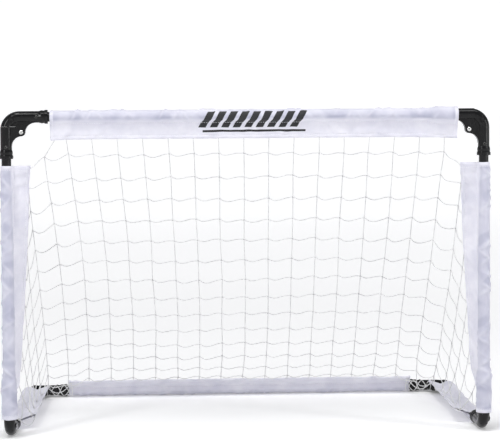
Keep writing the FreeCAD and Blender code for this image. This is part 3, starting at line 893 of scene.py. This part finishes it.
def layNet(sheet):
    # points, pinned points and strings; a string is a list of point numbers
    acrossCell, downCell = netShape["cell"]
    half = (netShape["columns"] - 1) // 2
    reach = half + netShape["sideColumns"]
    points, pinned, strings, knots, corner, lean = [], {}, [], {}, {}, {}

    def add(p):
        points.append(np.array(p, float))
        return len(points) - 1

    def spotOf(column, row):
        return np.array([column * acrossCell, netShape["firstRow"] + row * downCell])

    for key, (a, b) in cornerEdges(sheet).items():
        sag = np.array([0, 0, netShape["cornerSag"]])
        ids = [add(a + (b - a) * t - sag * math.sin(math.pi * t)) for t in np.linspace(0, 1, 9)]
        pinned.update({ids[0]: 1.0, ids[-1]: 1.0})
        strings.append(ids)
        corner[key] = ids
        back, tall = sheet.sleeves["back"], netShape["laceTall"]
        for phase in (0, 1):  # the lower border, laced round the elbow in front
            steps = []
            for k in range(netShape["laces"] + 1):
                t = k / netShape["laces"]
                z = back.start[2] + (tall if (k + phase) % 2 else -0.75 * tall)
                x = a[0] + (b[0] - a[0]) * t
                steps.append(add((x, back.start[1] - netShape["laceFront"], z)))
            pinned.update({i: 1.0 for i in steps})
            strings.append([ids[0], *steps, ids[-1]])

    def knot(column, row):
        key = (column, row)
        if key not in knots:
            p = sheet.place(*spotOf(column, row))
            drift = swirl(column * 0.37, row * 0.41, netShape["seed"])
            size = netShape["wander"] * (1.0 + 0.9 * float(smooth((column - 5) / 5)))
            knots[key] = add(p + drift * size)
        return knots[key]

    def crossing(a, b):
        # the last place on the way from a, inside, to b, outside
        near, far = 0.0, 1.0
        for _ in range(18):
            mid = (near + far) / 2
            spot = a + (b - a) * mid
            near, far = (near, mid) if sheet.limit(sheet.place(*spot), spot[1]) else (mid, far)
        beyond = a + (b - a) * far
        return sheet.place(*(a + (b - a) * near)), sheet.limit(sheet.place(*beyond), beyond[1])

    def finishAt(a, b):
        p, kind = crossing(a, b)
        sign = 1 if p[0] > 0 else -1
        if kind == "backCorner":
            ids = corner[kind, sign]
            return [min(ids[1:-1], key=lambda i: abs(points[i][0] - p[0]))]
        ends = [add(sheet.anchor(kind, p)), add(sheet.anchor(kind, p, netShape["insideHem"]))]
        pinned.update({i: 1.0 for i in ends})
        return ends

    def span(first, second, bulge, key):
        # the loose points between two knots
        count = netShape["piecesPerCell"] - 1
        a, b = points[first], points[second]
        length = np.linalg.norm(b - a)
        if length < 0.012:
            return []
        sway = swirl(key[0] * 1.7, key[1] * 1.3, key[2] * 5.1 + netShape["seed"])
        sway = sway * 0.8 + np.array([0, 0, -0.55])
        kink = noise.noise(Vector((key[1] * 2.3, key[0] * 1.9, key[2] + 9.7)))
        ids = []
        for k in range(1, count + 1):
            t = k / (count + 1)
            wave = math.sin(math.pi * t) + 0.9 * kink * math.sin(2 * math.pi * t)
            ids.append(add(a + (b - a) * t + sway * bulge * wave * min(length / 0.046, 1)))
            if key[2] == 1:
                onSide = float(smooth((-key[0] - half - 0.5) / 2))
                bend = netShape["lean"][0] * (1 - onSide) + netShape["lean"][1] * onSide
                lean[ids[-1]] = -math.sin(2 * math.pi * t) * bend
        return ids

    def run(cells, kind):
        # cells are (column, row) along one string
        chain, before = [], None
        for cell in cells:
            spot = spotOf(*cell)
            inside = not sheet.limit(sheet.place(*spot), spot[1])
            loose = netShape["slack"][kind] * (1.0 + 0.8 * float(smooth((cell[0] - 5) / 5)))
            if inside:
                here = knot(*cell)
                if before is None:
                    chain = [here]
                elif before[1]:
                    chain += [*span(chain[-1], here, loose, (*cell, kind)), here]
                else:
                    ends = finishAt(spot, before[0])
                    chain = [*ends[::-1], *span(ends[0], here, loose * 0.6, (*cell, kind)), here]
            elif before is not None and before[1]:
                ends = finishAt(before[0], spot)
                chain += [*span(chain[-1], ends[0], loose * 0.6, (*cell, kind)), *ends]
                strings.append(chain)
                chain = []
            before = (spot, inside)
        if len(chain) > 1:
            strings.append(chain)

    for column in range(-reach, reach + 1):
        run([(column, row) for row in range(-1, netShape["rows"] + 1)], 0)
    for row in range(netShape["rows"]):
        run([(column, row) for column in range(-reach - 1, reach + 2)], 1)
    return np.array(points), pinned, strings, knots, lean


looseString = {
    "frames": 30, "quality": 12, "mass": 0.002,
    "tension_stiffness": 80, "compression_stiffness": 5, "shear_stiffness": 0, "bending_stiffness": 0.02,
    "tension_damping": 8, "bending_damping": 0.2, "air_damping": 2.0,
}


def curveThrough(path, step):
    # a smooth line through the points, and the distance along it
    rows = np.arange(0, len(path) - 1 + 1e-9, 0.125)
    fine = resample(path, 0, rows)
    run = runAlong(fine)
    at = np.linspace(0, run[-1], max(3, int(run[-1] / step)))
    return valuesAt(at, run, fine), at


def stringTubes(points, strings, sheet):
    radius, sides, step = netShape["string"], 6, 0.0030
    down = np.array([0, -sheet.forward[1], sheet.forward[0]])
    ends, faces, uv = [], [], []
    first = 0
    for chain in strings:
        line, run = curveThrough(points[chain], step)
        along = unit(np.gradient(line, axis=0))
        lead = abs(along @ down).mean() > 0.6
        guide = np.array([1.0, 0, 0]) if lead else down
        side = unit(np.cross(along, guide))
        up = np.cross(along, side)
        turn = (np.arange(sides) * 2 * math.pi / sides)[None, :] + run[:, None] * 260
        lobe = radius * (1 + 0.14 * np.cos(3 * np.arange(sides) * 2 * math.pi / sides))[None, :, None]
        ring = line[:, None] + lobe * spokes(turn, side, up)
        ends.append(ring.reshape(-1, 3))
        count = len(line)
        faces += closedTube(count, sides, first)
        uv += [ringUv(run, np.arange(sides + 1) / sides), np.zeros((2 * sides, 2))]
        first += count * sides
    return np.concatenate(ends), faces, np.concatenate(uv)


def knotLumps(points, knots, sheet):
    # each knot is the string's own small overhand loop
    count, sides, radius = 14, 5, netShape["knot"]
    t = np.linspace(0, 2 * math.pi, count, endpoint=False)
    loop = np.stack([np.sin(t) + 2 * np.sin(2 * t), np.cos(t) - 2 * np.cos(2 * t), -1.3 * np.sin(3 * t)], 1)
    loop = netShape["knotSize"] * loop
    along = unit(np.roll(loop, -1, 0) - np.roll(loop, 1, 0))
    side = unit(np.cross(along, (0, 0, 1)))
    up = np.cross(along, side)
    turn = (np.arange(sides) * 2 * math.pi / sides)[None]
    ring = (loop[:, None] + radius * spokes(turn, side, up)).reshape(-1, 3)
    total = count * sides
    shape = [tuple(k % total for k in face) for face in rings(count + 1, sides)]
    flat = np.repeat([(f[0] // sides / count * 0.02, f[0] % sides / sides) for f in shape], 4, axis=0)
    face = Vector((0, sheet.forward[0], sheet.forward[1]))
    out, faces, uv = [], [], []
    for key, index in sorted(knots.items()):
        spin = Matrix.Rotation(2.4 * noise.noise(Vector((key[0] * 0.9, key[1] * 1.1, 3.3))), 3, "Z")
        tilt = face.to_track_quat("Z", "Y").to_matrix() @ spin
        first = len(out) * len(ring)
        out.append(ring @ np.array(tilt).T + points[index])
        faces += [tuple(first + v for v in f) for f in shape]
        uv.append(flat)
    return np.concatenate(out), faces, np.concatenate(uv)


def closeLikeFan(piece, sheet, hinge):
    # every point turns about the hinge by its own share, so the net ends flat between frame and base
    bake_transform(piece, "front_frame", "folding_base", start=(0, sheet.top[0], sheet.top[1]),
             end=(0, sheet.bottom[0], sheet.bottom[1]))
    data = piece.data
    at = placesOf(data)
    post = sheet.sleeves["leftPost"]
    heights = np.linspace(post.end[2], sheet.top[1], 60)
    hemAngle = [math.atan2(z - hinge[1], sheet.hemY(post, z) - hinge[0]) for z in heights]
    far = np.hypot(at[:, 1] - hinge[0], at[:, 2] - hinge[1])
    most = np.interp(far + hinge[1], heights, hemAngle)
    angle = np.arctan2(at[:, 2] - hinge[1], at[:, 1] - hinge[0])
    share = np.clip((most - angle) / most, 0, 1)
    data.attributes["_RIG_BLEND"].data.foreach_set("value", share.astype(np.float32))


def makeNet(sleeves):
    sheet = NetSheet(sleeves)
    points, pinned, strings, knots, lean = layNet(sheet)
    print("net laid out:", len(points), "points,", len(strings), "strings,", len(knots), "knots")
    links = sorted({tuple(sorted(pair)) for chain in strings for pair in zip(chain[:-1], chain[1:])})
    points = settle("hangingNet", points, links, [], pinned, **looseString)
    points[list(lean), 2] += np.array(list(lean.values()))
    finish = twistedString()
    hinge = next(j["pos_m"][1:] for j in frame["joints"] if j["name"] == "base_fold")
    for name, build in (("net_strings", stringTubes), ("net_knots", knotLumps)):
        made, faces, uv = build(points, strings if build is stringTubes else knots, sheet)
        piece = meshPiece(name, made, faces, finish, uv)
        closeLikeFan(piece, sheet, hinge)
        if name == "net_strings":
            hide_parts("net")
        print(name, "made,", len(faces), "faces")


view = {"x": -0.1282, "y": -3.1689, "z": 0.607, "turn": 2.602, "tip": 2.315, "roll": -0.383,
        "focal": 3.1898, "sensor": 36, "shift": -0.0926}  # focal length in picture widths


def placeCamera():
    data = bpy.data.cameras.new("shot")
    camera = onScene("shot", data)
    turn, tip, roll = (math.radians(view[k]) for k in ("turn", "tip", "roll"))
    forward = Vector((math.sin(turn) * math.cos(tip), math.cos(turn) * math.cos(tip), -math.sin(tip)))
    right = Vector((math.cos(turn), -math.sin(turn), 0))
    up = right.cross(forward)
    right, up = right * math.cos(roll) + up * math.sin(roll), up * math.cos(roll) - right * math.sin(roll)
    place = Matrix.Translation([view[k] for k in "xyz"])
    camera.matrix_world = place @ Matrix((right, up, -forward)).transposed().to_4x4()
    data.sensor_width = view["sensor"]
    data.lens = view["focal"] * view["sensor"]
    data.shift_y = view["shift"]
    data.clip_start, data.clip_end = 0.05, 100
    bpy.context.scene.camera = camera


studio = {
    "floor": (0.91, 0.91, 0.91),
    "world": 0.38,
    "sun": 0.62,
    "sunFrom": (-0.35, -0.40, 1.5),
    "sunSpread": 15,        # degrees
    "flat": 9.0,            # radius of the flat floor, before the sweep rises
    "sweep": 2.5,
    # the floor's own faint light, so that it stays as pale far off as near
    "glow": ((0.0, 0.08), (0.10, 0.21), (0.3, 0.36), (0.7, 0.45), (1.0, 0.40)),
    "strips": {"leftStrip": ((-1.5, -1.6, 1.5), (0.30, 1.5), 15),
               "topStrip": ((0.2, -0.9, 2.1), (2.2, 0.20), 17),
               "rightStrip": ((1.9, -1.2, 1.0), (0.22, 1.2), 10)},
}


def lamp(name, place, target, size, power):
    data = bpy.data.lights.new(name, "AREA")
    data.shape, data.size, data.size_y, data.energy = "RECTANGLE", *size, power
    item = onScene(name, data)
    item.location = place
    item.rotation_euler = (Vector(target) - Vector(place)).to_track_quat("-Z", "Y").to_euler()


def makeStudio():
    mat, tree, shader = newFinish("paleFloor", studio["floor"], 0.8, Specular_IOR_Level=0.2)
    grain = noiseOf(tree, objectSpace(tree), 90, 3)
    bumps(tree, shader, (grain, 0.03, 0.001))
    far = tree.nodes.new("ShaderNodeVectorMath")
    far.operation = "LENGTH"
    tree.links.new(objectSpace(tree), far.inputs[0])
    share = math2(tree, "DIVIDE", far.outputs["Value"], studio["flat"])
    glow = ramp(tree, share, *studio["glow"])
    shader.inputs["Emission Strength"].default_value = 1.0
    tree.links.new(glow, shader.inputs["Emission Color"])
    sides, profile = 64, [(r, 0.0) for r in (0.01, 0.6, 2.0, 5.0, studio["flat"])]
    for turn in np.radians(np.linspace(6, 84, 14)):
        out, up = math.sin(turn), 1 - math.cos(turn)
        profile.append((studio["flat"] + studio["sweep"] * out, studio["sweep"] * up))
    around = np.linspace(0, 2 * math.pi, sides, endpoint=False)
    points = [(r * math.cos(a), r * math.sin(a), z - 0.0003) for r, z in profile for a in around]
    faces = [range(sides), *(face[::-1] for face in rings(len(profile), sides))]
    floor = meshPiece("floor", points, faces, mat)
    world = bpy.data.worlds.new("studio")
    world.use_nodes = True
    back = world.node_tree.nodes["Background"]
    back.inputs["Color"].default_value = (0.95, 0.96, 1.0, 1)
    back.inputs["Strength"].default_value = studio["world"]
    bpy.context.scene.world = world
    bpy.context.scene.view_settings.view_transform = "Standard"
    data = bpy.data.lights.new("broadLight", "SUN")
    data.energy, data.angle = studio["sun"], math.radians(studio["sunSpread"])
    sun = onScene("broadLight", data)
    sun.rotation_euler = (-Vector(studio["sunFrom"])).to_track_quat("-Z", "Y").to_euler()
    for name, (place, size, power) in studio["strips"].items():
        lamp(name, place, (0, 0, 0.35), size, power)


placeCamera()
makeStudio()
dressFrame()
print("frame dressed")
sleeves = makeSleeves()
print("sleeves made")

makeNet(sleeves)
